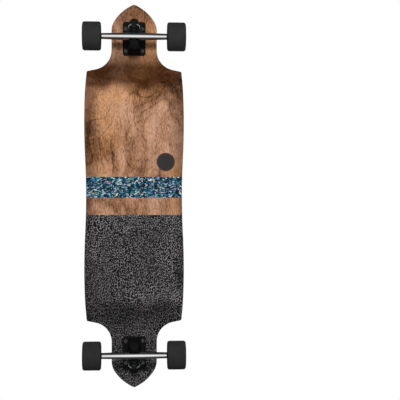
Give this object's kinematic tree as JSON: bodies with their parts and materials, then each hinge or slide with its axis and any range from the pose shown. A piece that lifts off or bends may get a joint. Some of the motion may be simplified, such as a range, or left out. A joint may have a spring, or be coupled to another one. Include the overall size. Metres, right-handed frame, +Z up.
{
  "type": "longboard skateboard",
  "caption": "Longboard skateboard with a pointed drop-platform deck, wheel wells, sprung steering trucks and black wheels.",
  "frame": {"origin": "on the ground under the middle of the board", "axes": "+X towards the nose, +Y to the rider's left, +Z up"},
  "size_m": [0.9594, 0.251, 0.1143],
  "materials": {
    "maple_core": "dark stain",
    "walnut_veneer": "satin",
    "printed_sheet": "satin",
    "grip_tape": "gritty",
    "black_hardware": "black oxide",
    "black_casting": "satin paint",
    "polished_casting": "polished",
    "bushing_urethane": "satin",
    "zinc_steel": "zinc plated",
    "bearing_steel": "ground",
    "shield_steel": "black",
    "wheel_urethane": "matte",
    "core_nylon": "moulded"
  },
  "bodies": {
    "board": {"deck": "maple_core", "underside_veneer": "walnut_veneer", "top_print": "printed_sheet", "left_grip": "grip_tape", "right_grip": "grip_tape", "front_deck_bolts": "black_hardware", "front_deck_nuts": "black_hardware", "front_baseplate": "black_casting", "front_pivot_cup": "bushing_urethane", "front_kingpin": "black_hardware", "front_kingpin_nut": "black_hardware", "front_boardside_bushing": "bushing_urethane", "front_roadside_bushing": "bushing_urethane", "front_boardside_washer": "zinc_steel", "front_roadside_washer": "zinc_steel", "rear_deck_bolts": "black_hardware", "rear_deck_nuts": "black_hardware", "rear_baseplate": "black_casting", "rear_pivot_cup": "bushing_urethane", "rear_kingpin": "black_hardware", "rear_kingpin_nut": "black_hardware", "rear_boardside_bushing": "bushing_urethane", "rear_roadside_bushing": "bushing_urethane", "rear_boardside_washer": "zinc_steel", "rear_roadside_washer": "zinc_steel"},
    "front_hanger_assembly": {"front_hanger": "polished_casting", "front_axle": "zinc_steel", "front_axle_nuts": "zinc_steel", "front_speed_washers": "zinc_steel", "front_bearing_spacers": "zinc_steel", "front_bearing_inner_races": "bearing_steel"},
    "rear_hanger_assembly": {"rear_hanger": "polished_casting", "rear_axle": "zinc_steel", "rear_axle_nuts": "zinc_steel", "rear_speed_washers": "zinc_steel", "rear_bearing_spacers": "zinc_steel", "rear_bearing_inner_races": "bearing_steel"},
    "front_left_wheel_assembly": {"front_left_wheel": "wheel_urethane", "front_left_core": "core_nylon", "front_left_bearing_outer_races": "bearing_steel", "front_left_bearing_shields": "shield_steel"},
    "front_left_ball_set": {"front_left_bearing_balls": "bearing_steel"},
    "front_right_wheel_assembly": {"front_right_wheel": "wheel_urethane", "front_right_core": "core_nylon", "front_right_bearing_outer_races": "bearing_steel", "front_right_bearing_shields": "shield_steel"},
    "front_right_ball_set": {"front_right_bearing_balls": "bearing_steel"},
    "rear_left_wheel_assembly": {"rear_left_wheel": "wheel_urethane", "rear_left_core": "core_nylon", "rear_left_bearing_outer_races": "bearing_steel", "rear_left_bearing_shields": "shield_steel"},
    "rear_left_ball_set": {"rear_left_bearing_balls": "bearing_steel"},
    "rear_right_wheel_assembly": {"rear_right_wheel": "wheel_urethane", "rear_right_core": "core_nylon", "rear_right_bearing_outer_races": "bearing_steel", "rear_right_bearing_shields": "shield_steel"},
    "rear_right_ball_set": {"rear_right_bearing_balls": "bearing_steel"}
  },
  "joints": [
    {"name": "front_steer", "type": "hinge", "parent": "board", "child": "front_hanger_assembly", "pos_m": [0.38051, 0, 0.04349], "axis": [0.7071, 0, 0.7071], "range_deg": [-20, 20], "stiffness_Nm_per_rad": 60, "deforming": ["front_boardside_bushing", "front_roadside_bushing"]},
    {"name": "rear_steer", "type": "hinge", "parent": "board", "child": "rear_hanger_assembly", "pos_m": [-0.38051, 0, 0.04349], "axis": [-0.7071, 0, 0.7071], "range_deg": [-20, 20], "stiffness_Nm_per_rad": 60, "deforming": ["rear_boardside_bushing", "rear_roadside_bushing"]},
    {"name": "front_left_wheel_spin", "type": "hinge", "parent": "front_hanger_assembly", "child": "front_left_wheel_assembly", "pos_m": [0.389, 0.103, 0.035], "axis": [0, 1, 0], "continuous": true},
    {"name": "front_left_ball_orbit", "type": "hinge", "parent": "front_hanger_assembly", "child": "front_left_ball_set", "pos_m": [0.389, 0.103, 0.035], "axis": [0, 1, 0], "continuous": true},
    {"name": "front_right_wheel_spin", "type": "hinge", "parent": "front_hanger_assembly", "child": "front_right_wheel_assembly", "pos_m": [0.389, -0.103, 0.035], "axis": [0, 1, 0], "continuous": true},
    {"name": "front_right_ball_orbit", "type": "hinge", "parent": "front_hanger_assembly", "child": "front_right_ball_set", "pos_m": [0.389, -0.103, 0.035], "axis": [0, 1, 0], "continuous": true},
    {"name": "rear_left_wheel_spin", "type": "hinge", "parent": "rear_hanger_assembly", "child": "rear_left_wheel_assembly", "pos_m": [-0.389, 0.103, 0.035], "axis": [0, 1, 0], "continuous": true},
    {"name": "rear_left_ball_orbit", "type": "hinge", "parent": "rear_hanger_assembly", "child": "rear_left_ball_set", "pos_m": [-0.389, 0.103, 0.035], "axis": [0, 1, 0], "continuous": true},
    {"name": "rear_right_wheel_spin", "type": "hinge", "parent": "rear_hanger_assembly", "child": "rear_right_wheel_assembly", "pos_m": [-0.389, -0.103, 0.035], "axis": [0, 1, 0], "continuous": true},
    {"name": "rear_right_ball_orbit", "type": "hinge", "parent": "rear_hanger_assembly", "child": "rear_right_ball_set", "pos_m": [-0.389, -0.103, 0.035], "axis": [0, 1, 0], "continuous": true}
  ],
  "couplings": [
    {"joint": "front_left_ball_orbit", "follows": "front_left_wheel_spin", "ratio": 0.6323},
    {"joint": "front_right_ball_orbit", "follows": "front_right_wheel_spin", "ratio": 0.6323},
    {"joint": "rear_left_ball_orbit", "follows": "rear_left_wheel_spin", "ratio": 0.6323},
    {"joint": "rear_right_ball_orbit", "follows": "rear_right_wheel_spin", "ratio": 0.6323}
  ]
}
